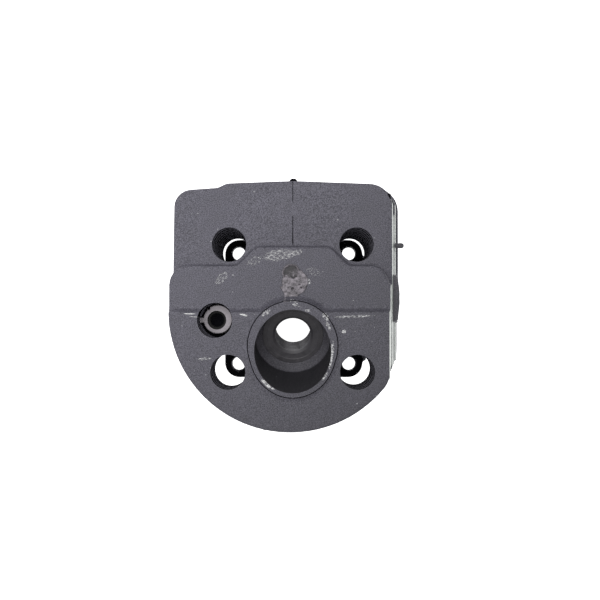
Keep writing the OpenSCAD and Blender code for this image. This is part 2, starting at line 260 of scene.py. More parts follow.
def mix_colour(tree, factor, a, b):
    a, b = (v if isinstance(v, bpy.types.NodeSocket) else (*v, 1) for v in (a, b))
    return add_node(tree, "Mix", {0: factor, 6: a, 7: b}, data_type="RGBA").outputs[2]


def bump(tree, shader, height, depth_mm, under=None):
    """Roughens the surface; depth is what a height of one stands for."""
    inputs = {"Strength": 1.0, "Distance": depth_mm * MM, "Height": height}
    if under is not None:
        inputs["Normal"] = under
    node = add_node(tree, "Bump", inputs)
    tree.links.new(node.outputs[0], shader.inputs["Normal"])
    return node.outputs[0]


def surface(tree, shader, colour, roughness, metallic=0.0):
    wire_all(tree, shader, {"Base Color": colour, "Roughness": roughness, "Metallic": metallic})


def vector_maths(tree, operation, vector, other=(0, 0, 0)):
    return add_node(tree, "VectorMath", {0: vector, 1: other}, operation=operation)


def split_axes(tree, place):
    return add_node(tree, "SeparateXYZ", {0: place}).outputs


def local_place(tree, place, centre, size, turn=0.0):
    """Coordinates centred on a point in mm, where a vector of length one spans size."""
    shift = vector_maths(tree, "SUBTRACT", place, [c * MM for c in centre])
    inputs = {"Vector": shift.outputs[0], "Angle": -math.radians(turn)}
    rotate = add_node(tree, "VectorRotate", inputs, rotation_type="Z_AXIS")
    return vector_maths(tree, "MULTIPLY", rotate.outputs[0], [1 / (s * MM) for s in size]).outputs[0]


# Places where the coat is scraped to the metal: centre, half sizes, turn in degrees, cell size of the
# scratches along and across, and how much of the zone is bare.
SCRAPES = [
    ((-5.0, 18.7, PLATEAU_Z), (10.0, 3.6, 2), 7, (1.7, 0.3), 0.48),
    ((1.5, 19.6, PLATEAU_Z), (3.4, 1.7, 2), 15, (1.3, 0.32), 0.49),
    ((-13.5, 16.6, PLATEAU_Z), (5.5, 2.8, 2), 25, (1.5, 0.28), 0.44),
    ((4.5, 9.5, PLATEAU_Z), (2.2, 3.6, 2), 75, (1.6, 0.5), 0.5),
    ((7.5, 12.8, PLATEAU_Z), (4.8, 2.6, 2), -20, (1.2, 0.3), 0.43),
    ((-1.0, 11.6, PLATEAU_Z), (1.8, 1.8, 2), -50, (0.9, 0.45), 0.48),
    ((-25.4, 10.4, PLATEAU_Z), (5.2, 2.6, 2), 48, (1.8, 0.28), 0.46),
    ((-33.0, -3.4, TOP_Z), (6.5, 0.55, 2), 0, (2.4, 0.3), 0.5),
    ((-36.5, -2.3, TOP_Z), (3.2, 0.35, 2), 0, (1.4, 0.3), 0.66),
    ((-17.4, -2.7, TOP_Z), (2.4, 0.6, 2), -12, (2.0, 0.35), 0.6),
    ((21.5, -3.2, TOP_Z), (12.0, 0.8, 2), 2, (1.6, 0.26), 0.49),
    ((18.2, -8.6, TOP_Z), (1.4, 1.2, 2), 40, (0.9, 0.45), 0.55),
    ((-31.0, -18.2, TOP_Z), (4.2, 0.9, 2), 4, (1.2, 0.28), 0.5),
    ((-8.8, -27.3, TOP_Z), (5.6, 1.5, 3), -38, (1.5, 0.36), 0.54),
    ((-2.0, -29.2, TOP_Z), (6.5, 0.9, 3), -3, (2.0, 0.36), 0.53),
    ((13.6, -17.0, TOP_Z), (1.5, 9.0, 3), -8, (0.8, 0.5), 0.52),
    ((11.3, -24.4, TOP_Z), (1.2, 3.4, 3), -35, (0.8, 0.4), 0.48),
    ((12.6, -6.6, TOP_Z), (1.2, 3.0, 3), 24, (0.7, 0.4), 0.5),
    ((11.6, -3.4, TOP_Z), (1.6, 3.2, 3), 30, (0.9, 0.5), 0.5),
    ((5.3, -1.2, TOP_Z), (2.0, 0.8, 3), 0, (0.8, 0.36), 0.52),
    ((0.6, 1.6, TOP_Z), (4.6, 1.6, 3), -35, (1.6, 0.4), 0.47),
    ((-9.4, -1.9, TOP_Z), (3.6, 1.3, 3), 36, (1.1, 0.32), 0.5),
]


def scrape_mask(tree, place):
    """One where the coat is scraped off, zero elsewhere."""
    mask = 0.0
    for centre, half, turn, cell, amount in SCRAPES:
        zone = vector_maths(tree, "LENGTH", local_place(tree, place, centre, half, turn)).outputs["Value"]
        inside = remap(tree, zone, 0.45, 1.0, amount, 0.0, smooth=True)
        cells = local_place(tree, place, centre, (0.85 * cell[0], 0.6 * cell[1], 0.6), turn)
        flecks = fractal(tree, cells, 1.0, 4.0, 0.68, 0.5)
        bare = remap(tree, calc(tree, "ADD", flecks, inside), 0.99, 1.05)
        mask = calc(tree, "MAXIMUM", bare, mask)
    return mask


# ---- materials


def painted_light_falloff(tree, place):
    """Painted light: the coat is shaded darker towards the front and the right, as if lit from the back
    left; 1 is full tone, 0 is black.
    """
    slope = vector_maths(tree, "DOT_PRODUCT", place, (-4.0, 4.4, 0))
    return remap(tree, slope.outputs["Value"], -0.35, 0.2, 0.39, 0.94)


def coat_material(name="coat", scrapes_and_painted_falloff=True, dark=(0.022, 0.021, 0.030), light=(0.172, 0.166, 0.204),
                  gloss_level=0.42):
    """Black coat on die-cast aluminium: sandy grain, soft mottling, scrapes down to the metal, and painted
    light that darkens it towards the front and the right.
    """
    material, tree, shader, place = new_material(name)
    sand = fractal(tree, place, 3300, 2.0, 0.6)
    cloud = fractal(tree, place, 240, 3.0, 0.55)
    grain = remap(tree, sand, 0.36, 0.64)
    tone = weighted(tree, grain, 0.74, cloud, 0.30)
    colour = mix_colour(tree, remap(tree, tone, 0.1, 1.0), dark, light)
    if scrapes_and_painted_falloff:
        # painted light: darker towards the front and the right
        colour = mix_colour(tree, painted_light_falloff(tree, place), (0, 0, 0), colour)
    gloss = remap(tree, cloud, 0.3, 0.7, 0.58, 0.68)
    height = sand
    speck = calc(tree, "GREATER_THAN", fractal(tree, place, 900, 1.0, 0.5), 0.79)
    colour = mix_colour(tree, calc(tree, "MULTIPLY", speck, 0.5), colour, (0.45, 0.45, 0.46))
    if scrapes_and_painted_falloff:
        bare = scrape_mask(tree, place)
        shine = mix_colour(tree, grain, (0.24, 0.24, 0.25), (0.80, 0.80, 0.80))
        colour = mix_colour(tree, bare, colour, shine)
        gloss = calc(tree, "SUBTRACT", gloss, calc(tree, "MULTIPLY", bare, 0.2))
        height = calc(tree, "SUBTRACT", sand, calc(tree, "MULTIPLY", bare, 0.6))
    surface(tree, shader, colour, gloss)
    shader.inputs["Specular IOR Level"].default_value = gloss_level
    swell = bump(tree, shader, fractal(tree, place, 160, 2.0), 0.10)
    bump(tree, shader, height, 0.07, swell)
    return material


def scar_material():
    """Torn metal of the gate under a thin coat: pinkish grey and coarse, darkened with painted shade the
    lower its surface lies.
    """
    material, tree, shader, place = new_material("scar")
    coarse = fractal(tree, place, 900, 3.0, 0.7)
    fine = fractal(tree, place, 3200, 2.0, 0.6)
    # painted shade: the lower the surface, the darker
    low, high = (PLATEAU_Z - 0.02) * MM, (PLATEAU_Z + 0.34) * MM
    level = remap(tree, split_axes(tree, place)[2], low, high, smooth=True)
    tone = weighted(tree, coarse, 0.7, fine, 0.3)
    tone = calc(tree, "MULTIPLY", remap(tree, tone, 0.34, 0.66), level)
    colour = mix_colour(tree, tone, (0.012, 0.011, 0.013), (0.28, 0.255, 0.285))
    surface(tree, shader, colour, 0.6)
    bump(tree, shader, coarse, 0.16)
    return material


def tool_marks(tree, place, direction, pitch_mm):
    """Fine parallel cutter marks: noise stretched across one direction."""
    size = [60.0, 60.0, 60.0]
    size[direction] = pitch_mm
    return fractal(tree, local_place(tree, place, (0, 0, 0), size), 1.0, 4.0, 0.7)


def milled_material():
    """Bare aluminium from a milling cutter."""
    material, tree, shader, place = new_material("milled")
    marks = tool_marks(tree, place, 2, 0.25)
    broad = fractal(tree, place, 900, 3.0, 0.65)
    tone = weighted(tree, marks, 0.45, broad, 0.55)
    colour = mix_colour(tree, remap(tree, tone, 0.36, 0.62), (0.13, 0.14, 0.13), (0.50, 0.53, 0.50))
    gloss = remap(tree, broad, 0.3, 0.7, 0.34, 0.52)
    surface(tree, shader, colour, gloss, 0.5)
    bump(tree, shader, marks, 0.02)
    return material


def turned_material(name, dark, light, roughness, axis=None, pitch_mm=0.22, metallic=0.9):
    """Metal turned on a lathe: fine rings round an axis through origin, in mm."""
    material, tree, shader, place = new_material(name)
    matrix = along(*(axis or ((0, 0, 1), (0, 0, 0)))).inverted()
    inputs = {"Vector": place, "Rotation": matrix.to_euler(), "Location": matrix.translation * MM}
    x, y, z = split_axes(tree, add_node(tree, "Mapping", inputs, vector_type="POINT").outputs[0])
    radius = calc(tree, "SQRT", calc(tree, "ADD", calc(tree, "POWER", x, 2.0), calc(tree, "POWER", y, 2.0)))
    scale = 1 / (pitch_mm * MM)
    inputs = {i: calc(tree, "MULTIPLY", value, scale) for i, value in enumerate((radius, z))}
    rings = fractal(tree, add_node(tree, "CombineXYZ", inputs).outputs[0], 1.0, 3.0, 0.6)
    stain = fractal(tree, place, 330, 4.0, 0.6)
    tone = remap(tree, weighted(tree, rings, 0.5, stain, 0.5), 0.3, 0.7)
    gloss = remap(tree, stain, 0.3, 0.7, roughness - 0.08, roughness + 0.08)
    colour = mix_colour(tree, tone, dark, light)
    surface(tree, shader, colour, gloss, metallic)
    bump(tree, shader, rings, 0.012)
    return material


def honed_material():
    """Plated bore wall with a crossed hone pattern."""
    material, tree, shader, place = new_material("honed")
    lines = []
    for turn in (27, -27):
        inputs = {"Vector": place, "Rotation": (math.radians(turn), math.radians(turn), 0)}
        rotate = add_node(tree, "VectorRotate", inputs, rotation_type="EULER_XYZ")
        lines.append(tool_marks(tree, rotate.outputs[0], 2, 0.18))
    height = calc(tree, "ADD", *lines)
    colour = mix_colour(tree, remap(tree, height, 0.75, 1.25), (0.40, 0.40, 0.39), (0.66, 0.66, 0.64))
    gloss = remap(tree, height, 0.75, 1.25, 0.24, 0.36)
    surface(tree, shader, colour, gloss, 1.0)
    bump(tree, shader, height, 0.01)
    return material


def cast_material():
    """Bare die-cast skin, grey and faintly grained; on the rail it also stands in for painted reflection."""
    material, tree, shader, place = new_material("bare_cast_and_sheen")
    sand = fractal(tree, place, 1500, 3.0, 0.65)
    cloud = fractal(tree, place, 300, 3.0)
    tone = weighted(tree, sand, 0.6, cloud, 0.4)
    colour = mix_colour(tree, remap(tree, tone, 0.38, 0.60), (0.055, 0.060, 0.058), (0.30, 0.32, 0.31))
    gloss = remap(tree, cloud, 0.3, 0.7, 0.45, 0.62)
    surface(tree, shader, colour, gloss, 0.4)
    bump(tree, shader, sand, 0.05)
    return material


# ---- meshes


def along(axis, origin):
    """Matrix whose Z runs along axis from origin, in mm, with no turn where the axis is +Z."""
    turn = Vector((0, 0, 1)).rotation_difference(Vector(axis)).to_matrix().to_4x4()
    return Matrix.Translation(Vector(origin)) @ turn


PLUG_TILT = math.atan2(-PLUG_AXIS[1], PLUG_AXIS[2])
PLUG_FRAME = Matrix.Translation(Vector(SEAT)) @ Matrix.Rotation(PLUG_TILT, 4, "X")


def moved(points, matrix):
    if matrix is None:
        return points
    return points @ np.array(matrix.to_3x3()).T + np.array(matrix.translation)


def volume(points, faces):
    """Signed volume of a closed mesh, from fans of its faces."""
    total = 0.0
    for face in faces:
        a = points[face[0]]
        for b, c in zip(face[1:-1], face[2:]):
            total += float(np.dot(a, np.cross(points[b], points[c])))
    return total


def new_object(name, points, faces, material=None, matrix=None):
    """A mesh object from points in mm, its faces turned outwards."""
    points = moved(np.asarray(points, float), matrix)
    if len(faces) < 20000 and volume(points, faces) < 0:
        faces = [tuple(face)[::-1] for face in faces]
    mesh = bpy.data.meshes.new(name)
    mesh.from_pydata((points * MM).tolist(), [], [tuple(face) for face in faces])
    if material is not None:
        mesh.materials.append(material)
    return linked(name, mesh)


def turned(name, profile, material=None, matrix=None, segments=128):
    """A solid of revolution about Z from (radius, z) points that start and end on the axis."""
    points, faces, rings = [], [], []
    for radius, z in profile:
        if radius < 1e-6:
            rings.append([len(points)] * segments)
            points.append((0, 0, z))
            continue
        rings.append(range(len(points), len(points) + segments))
        for i in range(segments):
            angle = 2 * math.pi * i / segments
            points.append((radius * math.cos(angle), radius * math.sin(angle), z))
    for low, high in zip(rings, rings[1:]):
        for i in range(segments):
            j = (i + 1) % segments
            corners = [low[i], low[j], high[j], high[i]]
            face = list(dict.fromkeys(corners))
            if len(face) > 2:
                faces.append(face)
    return new_object(name, points, faces, material, matrix)


def ring_solid(name, rings, material=None, matrix=None, segments=96):
    """A closed ring from sections (radius, z); each may change with the angle as an array."""
    angles = np.arange(segments) * 2 * math.pi / segments
    rows = []
    for radius, z in rings:
        radius, z = np.broadcast_to(radius, segments), np.broadcast_to(z, segments)
        rows.append(np.stack([radius * np.cos(angles), radius * np.sin(angles), z], 1))
    count = len(rows)
    faces = []
    for k in range(count):
        low, high = k * segments, (k + 1) % count * segments
        for i in range(segments):
            j = (i + 1) % segments
            faces.append((low + i, low + j, high + j, high + i))
    return new_object(name, np.concatenate(rows), faces, material, matrix)


def cylinder(name, radius, low, high, material=None, matrix=None, segments=128):
    return turned(name, [(0, low), (radius, low), (radius, high), (0, high)], material, matrix, segments)


def prism(name, outline, low, high, axis="z", material=None, matrix=None):
    """An outline pushed along an axis; its points are the other two coordinates in order."""
    order = {"x": (2, 0, 1), "y": (0, 2, 1), "z": (0, 1, 2)}[axis]
    points = [np.array((u, v, t))[list(order)] for t in (low, high) for u, v in outline]
    count = len(outline)
    faces = [tuple(range(count))[::-1], tuple(range(count, 2 * count))]
    for i in range(count):
        j = (i + 1) % count
        faces.append((i, j, count + j, count + i))
    return new_object(name, points, faces, material, matrix)


def block(name, low, high, material=None, matrix=None):
    x0, y0, z0 = low
    x1, y1, z1 = high
    return prism(name, [(x0, y0), (x1, y0), (x1, y1), (x0, y1)], z0, z1, "z", material, matrix)


def relief(name, xs, ys, top, bottom, material=None):
    """A slab with a flat underside and the given heights, one for each x and y, on top."""
    nx, ny = len(xs), len(ys)
    grid_x, grid_y = np.meshgrid(xs, ys, indexing="ij")
    upper = np.stack([grid_x, grid_y, top], -1).reshape(-1, 3)
    lower = np.stack([grid_x, grid_y, np.full_like(top, bottom)], -1).reshape(-1, 3)
    faces = []
    for i in range(nx - 1):
        for j in range(ny - 1):
            a, b, c, d = i * ny + j, (i + 1) * ny + j, (i + 1) * ny + j + 1, i * ny + j + 1
            faces += [(a, b, c, d), (a + nx * ny, d + nx * ny, c + nx * ny, b + nx * ny)]
    rim = [i * ny for i in range(nx)] + [(nx - 1) * ny + j for j in range(1, ny)]
    rim += [i * ny + ny - 1 for i in range(nx - 2, -1, -1)] + list(range(ny - 2, 0, -1))
    for a, b in zip(rim, rim[1:] + rim[:1]):
        faces.append((a, a + nx * ny, b + nx * ny, b))
    return new_object(name, np.concatenate([upper, lower]), faces, material)


def read(items, attribute, kind=float):
    """Rows of three numbers, one row for each item."""
    values = np.empty(len(items) * 3, kind)
    items.foreach_get(attribute, values)
    return values.reshape(-1, 3)


def paint(obj, material, wanted):
    """Gives a material to the faces for which wanted(centre in mm, normal) is true."""
    materials = obj.data.materials
    if material.name not in materials:
        materials.append(material)
    faces = obj.data.polygons
    slots = np.empty(len(faces), np.int32)
    faces.foreach_get("material_index", slots)
    slots[wanted(read(faces, "center") / MM, read(faces, "normal"))] = materials.find(material.name)
    faces.foreach_set("material_index", slots)


def joined(objects, name):
    """One object from several that don't touch; each keeps its materials."""
    with bpy.context.temp_override(active_object=objects[0], selected_editable_objects=objects):
        bpy.ops.object.join()
    objects[0].name = name
    return objects[0]


def boolean(target, tool, operation="DIFFERENCE", keep=False):
    """Cuts or joins two closed solids; the new faces take the tool's material."""
    modifier = target.modifiers.new("bool", "BOOLEAN")
    modifier.operation = operation
    modifier.solver = "MANIFOLD"
    modifier.material_mode = "TRANSFER"
    modifier.object = tool
    with bpy.context.temp_override(object=target, active_object=target):
        bpy.ops.object.modifier_apply(modifier=modifier.name)
    if not keep:
        bpy.data.objects.remove(tool)


# ---- the casting's raw shape

VOXEL = 0.3
FILLET = 0.7
EDGE = 0.45
STOCK = 1.2  # cast surplus on faces that are milled afterwards
BAND = 6

CASTING = ["top_plate", "plug_tower", "head_core", *FIN_NAMES, "side_rail", "barrel", "transfer_walls",
           "intake_hood", "intake_duct", "intake_flange", "exhaust_duct", "exhaust_flange",
           "cover_screw_post", "base_flange", "crankcase_spigot"]


def mesh_arrays(mesh):
    """Vertices in mm and triangles of a mesh."""
    mesh.calc_loop_triangles()
    points = read(mesh.vertices, "co", np.float32)
    return points / MM, read(mesh.loop_triangles, "vertices", np.int32)


def subdivided(points, triangles, longest):
    """Splits the edges that are longer than this."""
    bm = bmesh.new()
    verts = [bm.verts.new(p) for p in points]
    for a, b, c in triangles:
        if len({a, b, c}) == 3 and not bm.faces.get((verts[a], verts[b], verts[c])):
            bm.faces.new((verts[a], verts[b], verts[c]))
    bmesh.ops.remove_doubles(bm, verts=bm.verts, dist=1e-4)
    edges = [e for e in bm.edges if e.calc_length() > longest]
    while edges:
        bmesh.ops.subdivide_edges(bm, edges=edges, cuts=1)
        bmesh.ops.triangulate(bm, faces=[f for f in bm.faces if len(f.verts) > 3])
        edges = [e for e in bm.edges if e.calc_length() > longest]
    bm.verts.index_update()
    out = np.array([v.co for v in bm.verts])
    faces = np.array([[v.index for v in f.verts] for f in bm.faces])
    bm.free()
    return out, faces


def draft_fin(points, triangles):
    """Thins a fin towards both ends, the way the two slides leave it."""
    points, triangles = subdivided(points, triangles, 5.0)
    middle = (points[:, 2].min() + points[:, 2].max()) / 2
    taper = 1.1 - 0.28 * np.abs(points[:, 0]) / 40
    points[:, 2] = middle + (points[:, 2] - middle) * taper
    return points, triangles


def add_stock(name, points):
    """Moves the faces that are milled later outwards, so that the cuts leave sharp edges."""
    if name in ("top_plate", "fin_1", "fin_2"):
        on_plane = np.abs((points - SIDE_POINT) @ SIDE_NORMAL) < 0.02
        points[on_plane, 0] += STOCK
    points[points[:, 0] < EXHAUST_X + 0.01, 0] -= STOCK
    points[points[:, 0] > INTAKE_X - 0.01, 0] += STOCK
    if name in ("base_flange", "barrel"):
        points[np.abs(points[:, 2]) < 0.01, 2] -= STOCK
    if name == "crankcase_spigot":
        outside = np.hypot(points[:, 0], points[:, 1]) > SPIGOT_R - 0.2
        points[outside, :2] *= 1 + 0.6 / SPIGOT_R
        points[points[:, 2] < SPIGOT_Z + 0.01, 2] -= STOCK
    return points


def upright(centre):
    return Matrix.Translation(Vector((*centre, 0)))


def screw_places():
    """Frames of the four base holes."""
    return [upright((sx * SCREW_XY, sy * SCREW_XY)) for sx in (-1, 1) for sy in (-1, 1)]


def insert_places():
    """Frames of the four thread inserts: origin on the flange's face, Z pointing outwards."""
    places = []
    for x, z, half in ((INTAKE_X, INTAKE_Z, INTAKE_HALF), (EXHAUST_X, EXHAUST_Z, EXHAUST_HALF)):
        for side in (-1, 1):
            places.append(along((math.copysign(1, x), 0, 0), (x, side * half, z)))
    return places


def stock_solids():
    """Solid stock where holes are cut into the casting afterwards, and the skirt round the tower."""
    peg_z = (PEG_LOW[2] + PEG_HIGH[2]) / 2
    peg_y = (PEG_LOW[1] + PEG_HIGH[1]) / 2
    solids = [
        cylinder("stock", WELL_R + 0.9, -9, WELL_CONE + 1, matrix=PLUG_FRAME),
        cylinder("stock", LINING_R + 1, SQUISH_Z - 1.5, SQUISH_Z + DOME_H + 1),
        cylinder("stock", MOUTH_R + 1.1, 33, INTAKE_X + STOCK, matrix=along((1, 0, 0), (0, 0, INTAKE_Z))),
        cylinder("stock", 1.2, 33, side_x(peg_z) + STOCK, matrix=along((1, 0, 0), (0, peg_y, peg_z))),
        cylinder("stock", POCKET_R - 1, FIN_LOW[1] + 1, TOP_Z - 0.2, matrix=upright(COVER_XY)),
        turned("skirt", [(0, PLATEAU_Z - 0.4), (PAD_R + 2.3, PLATEAU_Z - 0.4), (PAD_R, TOP_Z), (0, TOP_Z)],
               matrix=upright((0, PAD_Y))),
    ]
    solids += [cylinder("stock", SHAFT_R - 1, BASE_T - 1, top - 0.2, matrix=upright(centre))
               for centre, top in SHAFTS]
    solids += [cylinder("stock", 4, -STOCK, BASE_T, matrix=place, segments=48) for place in screw_places()]
    solids += [cylinder("stock", 4.2, -10, STOCK, matrix=place, segments=48) for place in insert_places()]
    return solids


def casting_soup():
    """All triangles of the casting's nodes and of the stock, in one list."""
    parts = []
    for name in CASTING:
        points, triangles = mesh_arrays(frame["nodes"][name].data)
        if name in FIN_NAMES:
            points, triangles = draft_fin(points, triangles)
        parts.append((add_stock(name, points.copy()), triangles))
    for solid in stock_solids():
        parts.append(mesh_arrays(solid.data))
        bpy.data.objects.remove(solid)
    starts = np.cumsum([0] + [len(p) for p, _ in parts[:-1]])
    points = np.concatenate([p for p, _ in parts]).astype(np.float32)
    triangles = np.concatenate([t + n for (_, t), n in zip(parts, starts)]).astype(np.uint32)
    return points, triangles


def level_set(points, triangles, quads=()):
    faces = {key: value for key, value in (("triangles", triangles), ("quads", quads)) if len(value)}
    scale = vdb.createLinearTransform(voxelSize=VOXEL)
    return vdb.FloatGrid.createLevelSetFromPolygons(points, transform=scale, halfWidth=BAND, **faces)


def shifted(grid, distance):
    """The same solid grown by distance, or shrunk where it is negative."""
    return level_set(*grid.convertToPolygons(isovalue=distance, adaptivity=0))


def raw_casting(material):
    """The union of the nodes with filleted corners and rounded edges."""
    grid = shifted(level_set(*casting_soup()), FILLET)
    grid = shifted(grid, -FILLET - EDGE)
    points, triangles, quads = grid.convertToPolygons(isovalue=EDGE, adaptivity=0.08)
    faces = [f[::-1] for f in triangles.tolist()] + [f[::-1] for f in quads.tolist()]
    return new_object("casting", points, faces, material)


# ---- machining


def dome_profile():
    """The chamber's arc from the squish face to its top."""
    sides = 24
    radius = (DOME_R**2 + DOME_H**2) / (2 * DOME_H)
    centre = SQUISH_Z + DOME_H - radius
    half = math.asin(DOME_R / radius)
    arc = []
    for i in range(sides + 1):
        angle = half * (1 - i / sides)
        arc.append((radius * math.sin(angle), centre + radius * math.cos(angle)))
    return arc


def chamber_tool(material):
    """Everything inside the lining's seat and the dome."""
    profile = [(0, -20), (LINING_R + 0.03, -20), (LINING_R + 0.03, SQUISH_Z), (DOME_R + 0.3, SQUISH_Z)]
    return turned("chamber", profile + dome_profile(), material, segments=192)


def facing_cuts(milled):
    """Planes: the leaning side past the hood, both port faces, and the sealing face with its spigot."""
    step = 0.8
    hood_low, hood_high = (v + d for v, d in zip(node_box("intake_hood"), (-0.6, 0.6)))
    foot, shelf = ((z - SIDE_POINT[2]) / math.cos(SIDE_LEAN) for z in (FIN_LOW[1] - 2.2, FIN_LOW[0] - 0.1))
    tee = [(-60, 20), (-60, foot), (hood_low[1], foot), (hood_low[1], shelf), (hood_high[1], shelf),
           (hood_high[1], foot), (60, foot), (60, 20)]
    turning = [(0, -16), (60, -16), (60, 0), (SPIGOT_R, 0), (SPIGOT_R, SPIGOT_Z + step),
               (SPIGOT_R - step, SPIGOT_Z), (0, SPIGOT_Z)]
    return [
        prism("mill", tee, 0, 15, "x", milled, SIDE_FRAME),
        block("mill", (EXHAUST_X - 5, -40, 1), (EXHAUST_X, 40, 45), milled),
        block("mill", (INTAKE_X, -40, 1), (INTAKE_X + 5, 40, 34), milled),
        turned("mill", turning, milled, segments=256),
    ]


def hole_cuts(coat, milled, shaded_coat, wall):
    """Round holes that don't meet each other: the plug well, base holes, inserts and the intake mouth."""
    seam = 0.15
    skin = 0.05
    profile = [(0, -25), (BUSH_R, -25), (BUSH_R, -seam), (BUSH_R + seam, 0),
               (WELL_R - 0.25, WELL_CONE - 0.2), (WELL_R + skin, WELL_CONE + 0.3), (WELL_R + skin, 40),
               (0, 40)]
    segments = 192
    # painted shade: the well's floor and cone take the darker coat, its side walls the darkest copy
    bore = turned("bore", profile, shaded_coat, PLUG_FRAME, segments)
    bore.data.materials.append(wall)
    first_wall_face = 5 * segments
    for face in bore.data.polygons[first_wall_face:]:
        face.material_index = 1
    cuts = [bore]
    chamfer = 0.4
    through = [(0, -5), (SCREW_R + chamfer, -5), (SCREW_R + chamfer, 0), (SCREW_R, chamfer),
               (SCREW_R, BASE_T - chamfer), (SCREW_R + chamfer, BASE_T), (SCREW_R + chamfer, BASE_T + 1),
               (0, BASE_T + 1)]
    cuts += [turned("drill", through, coat, place, 64) for place in screw_places()]
    blind = [(0, -INSERT_LEN - 0.2), (INSERT_R, -INSERT_LEN - 0.2), (INSERT_R, -0.3), (INSERT_R + 0.3, 0),
             (INSERT_R + 0.3, 4), (0, 4)]
    cuts += [turned("drill", blind, milled, place, 64) for place in insert_places()]
    mouth = [(0, -7.5), (MOUTH_R, -7.5), (MOUTH_R, -chamfer), (MOUTH_R + chamfer, 0), (MOUTH_R + chamfer, 5),
             (0, 5)]
    cuts.append(turned("bore", mouth, milled, along((1, 0, 0), (INTAKE_X, 0, INTAKE_Z))))
    return cuts


def tower_outline(grow):
    """Outline of the plug tower at the top plate: its slanted section and the pad in front of it."""
    centre = SEAT[1] - (TOP_Z - SEAT[2]) * math.tan(PLUG_TILT)
    across, deep = TOWER_R, TOWER_R / math.cos(PLUG_TILT)
    points = []
    sides = 96
    for i in range(sides):
        angle = 2 * math.pi * i / sides
        x, y = across * math.cos(angle), centre + deep * math.sin(angle)
        reach = max(math.hypot(x, y - PAD_Y), PAD_R) + grow
        turn = math.atan2(y - PAD_Y, x)
        points.append((reach * math.cos(turn), PAD_Y + reach * math.sin(turn)))
    return points


def rim_groove(shade):
    """The fine gap between the tower's rim and the plate, its walls darkened with the shade coat as painted
    shade.
    """
    groove = prism("groove", tower_outline(0.32), TOP_Z - 0.35, TOP_Z + 2, "z", shade)
    boolean(groove, prism("groove", tower_outline(0), TOP_Z - 1, TOP_Z + 3, "z", shade))
    return groove


def shaft_cuts(shade):
    """The four tool shafts and the pocket of the cover screw, with crisp rims and walls darkened with the
    shade coat as painted shade.
    """
    cuts = [cylinder("core", SHAFT_R, BASE_T + 0.02, FAR, shade, upright(centre)) for centre, _ in SHAFTS]
    cuts.append(cylinder("core", POCKET_R, FIN_TOP[1], FAR, shade, upright(COVER_XY)))
    return cuts


def duct_tool(material, low=-24):
    """The slanted intake passage, up to just inside the mouth."""
    slant = along((math.cos(DUCT_RISE), 0, math.sin(DUCT_RISE)), (DUCT_END_X, 0, INTAKE_Z))
    return cylinder("core", DUCT_R, low, -1, material, slant)


# ---- marks of casting


def edge_step(distance, soft=0.22):
    """One well inside a shape, zero outside, from the distance inside its outline."""
    return np.clip(distance / soft + 0.5, 0, 1)


def rough(x, y, size, seed=0.0):
    """Seeded fractal noise around zero at every point of two equal arrays."""
    flat = [noise.fractal((a / size, b / size, seed), 0.8, 2.0, 4) for a, b in zip(x.ravel(), y.ravel())]
    return np.array(flat).reshape(x.shape)


def gate_scar(material):
    """What is left of the torn gate: a rough pad on the plateau and its neck over the tower's rim."""
    step = 0.13
    xs = np.arange(-6.4, 7.2, step)
    ys = np.arange(0.2, 16.6, step)
    x, y = np.meshgrid(xs, ys, indexing="ij")
    grain = rough(x, y, 0.9)
    wobble = 0.22 * rough(x, y, 2.2, 3.0)
    pad = edge_step(4.6 - np.hypot(x - 0.8, y - 9.05) + wobble)
    button = 3.1 - np.hypot(x + 0.6, y - 12.4) + wobble
    neck = edge_step(2.4 + 0.12 * (y - 3.6) ** 2 - np.abs(x + 0.6) + wobble) * edge_step(7.5 - y)
    height = np.maximum(0.50 * pad, 0.40 * edge_step(button))
    height = np.maximum(height, 0.46 * neck)
    rim = np.exp(-((button - 0.35) / 0.3) ** 2) * edge_step(y - 11.2 + wobble, 0.8)
    hollow = edge_step(button - 0.55, 0.3) * edge_step(y - 10.6, 0.6)
    height = height + 0.22 * rim - 0.36 * hollow
    for px, py, radius in ((0.25, 10.5, 0.5), (0.05, 6.8, 0.55), (2.4, 8.2, 0.35), (3.0, 7.0, 0.4)):
        height -= 0.45 * edge_step(radius - np.hypot(x - px, (y - py) * 1.5), 0.4)
    height += (0.15 * grain + 0.08 * rough(x, y, 0.4, 7.0)) * (height > 0.05)
    ramp = neck * np.clip((4.1 - y) / 2.6, 0, 1) * (TOP_Z + 0.45 - PLATEAU_Z)
    height = np.maximum(height, ramp + 0.05 * grain)
    outside = (pad + neck + edge_step(button)) < 0.02
    height = np.where(outside, -0.35, height)
    return relief("gate", xs, ys, PLATEAU_Z + height, PLATEAU_Z - 0.5, material)


def parting_ridge(material, y0, y1, z, height, x=0.0, half=0.22):
    """A thin raised line along Y where the two slides met."""
    xs = x + half * np.array([-1.6, -1.0, -0.35, 0.35, 1.0, 1.6])
    ys = np.linspace(y0, y1, max(6, int((y1 - y0) / 0.8)))
    grid_x, grid_y = np.meshgrid(xs, ys, indexing="ij")
    shape = np.array([-0.2, 0.0, 1.0, 1.0, 0.0, -0.2])[:, None]
    uneven = 0.8 + 0.5 * rough(grid_x * 0, grid_y, 2.0, z)
    return relief("ridge", xs, ys, z + height * shape * uneven, z - 0.4, material)


def tower_rim(material):
    """The tower's rim, crisp above the plate; the well is cut out of it later."""
    return prism("rim", tower_outline(-0.02), TOP_Z - 1.2, TOWER_TOP, "z", material)


